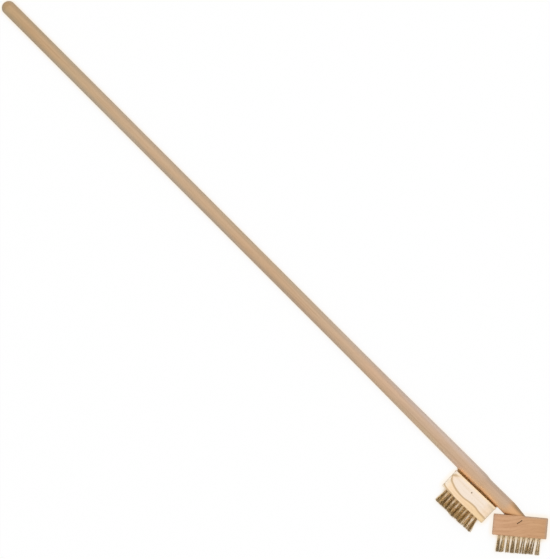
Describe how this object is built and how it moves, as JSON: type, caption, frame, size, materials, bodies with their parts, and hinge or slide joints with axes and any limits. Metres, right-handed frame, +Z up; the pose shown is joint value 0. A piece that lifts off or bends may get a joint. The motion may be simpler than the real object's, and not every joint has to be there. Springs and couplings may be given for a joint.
{
  "type": "weed brush",
  "caption": "Long-handled brush for clearing weeds from paving joints: a round wooden handle, an angled wire head pinned on its tapered end, and a loose spare head beside it.",
  "frame": {"origin": "on the table, at the middle of the fitted head block's lower side face", "axes": "+X along the handle from its domed top towards the fitted head, +Z up from the table the brush lies on, bristles of both heads towards -Y"},
  "size_m": [1.393, 0.1194, 0.03],
  "materials": {
    "handle_wood": "bare turned wood with fine lengthwise grain, sanded",
    "fitted_head_wood": "bare sawn wood, reddish, dull",
    "spare_head_wood": "bare sawn pale wood with growth rings, dull",
    "coated_wire": "fine crimped steel wire with a thin brass coat, dark in the bundles",
    "staple_steel": "thin steel wire, dulled brown"
  },
  "bodies": {
    "brush": {"handle": "handle_wood", "fitted_head_block": "fitted_head_wood", "tenon_staple": "staple_steel", "fitted_tuft_r1_c1": "coated_wire", "fitted_tuft_r1_c2": "coated_wire", "fitted_tuft_r1_c3": "coated_wire", "fitted_tuft_r1_c4": "coated_wire", "fitted_tuft_r1_c5": "coated_wire", "fitted_tuft_r1_c6": "coated_wire", "fitted_tuft_r1_c7": "coated_wire", "fitted_tuft_r1_c8": "coated_wire", "fitted_tuft_r1_c9": "coated_wire", "fitted_tuft_r2_c1": "coated_wire", "fitted_tuft_r2_c2": "coated_wire", "fitted_tuft_r2_c3": "coated_wire", "fitted_tuft_r2_c4": "coated_wire", "fitted_tuft_r2_c5": "coated_wire", "fitted_tuft_r2_c6": "coated_wire", "fitted_tuft_r2_c7": "coated_wire", "fitted_tuft_r2_c8": "coated_wire", "fitted_tuft_r2_c9": "coated_wire", "fitted_tuft_r3_c1": "coated_wire", "fitted_tuft_r3_c2": "coated_wire", "fitted_tuft_r3_c3": "coated_wire", "fitted_tuft_r3_c4": "coated_wire", "fitted_tuft_r3_c5": "coated_wire", "fitted_tuft_r3_c6": "coated_wire", "fitted_tuft_r3_c7": "coated_wire", "fitted_tuft_r3_c8": "coated_wire", "fitted_tuft_r3_c9": "coated_wire"},
    "spare_head": {"spare_head_block": "spare_head_wood", "spare_tuft_r1_c1": "coated_wire", "spare_tuft_r1_c2": "coated_wire", "spare_tuft_r1_c3": "coated_wire", "spare_tuft_r1_c4": "coated_wire", "spare_tuft_r1_c5": "coated_wire", "spare_tuft_r1_c6": "coated_wire", "spare_tuft_r1_c7": "coated_wire", "spare_tuft_r1_c8": "coated_wire", "spare_tuft_r1_c9": "coated_wire", "spare_tuft_r2_c1": "coated_wire", "spare_tuft_r2_c2": "coated_wire", "spare_tuft_r2_c3": "coated_wire", "spare_tuft_r2_c4": "coated_wire", "spare_tuft_r2_c5": "coated_wire", "spare_tuft_r2_c6": "coated_wire", "spare_tuft_r2_c7": "coated_wire", "spare_tuft_r2_c8": "coated_wire", "spare_tuft_r2_c9": "coated_wire", "spare_tuft_r3_c1": "coated_wire", "spare_tuft_r3_c2": "coated_wire", "spare_tuft_r3_c3": "coated_wire", "spare_tuft_r3_c4": "coated_wire", "spare_tuft_r3_c5": "coated_wire", "spare_tuft_r3_c6": "coated_wire", "spare_tuft_r3_c7": "coated_wire", "spare_tuft_r3_c8": "coated_wire", "spare_tuft_r3_c9": "coated_wire"}
  },
  "joints": [
    {"name": "spare_head_slide", "type": "slide", "parent": "brush", "child": "spare_head", "axis": [0, -1, 0], "range_m": [0, 0.12]}
  ]
}
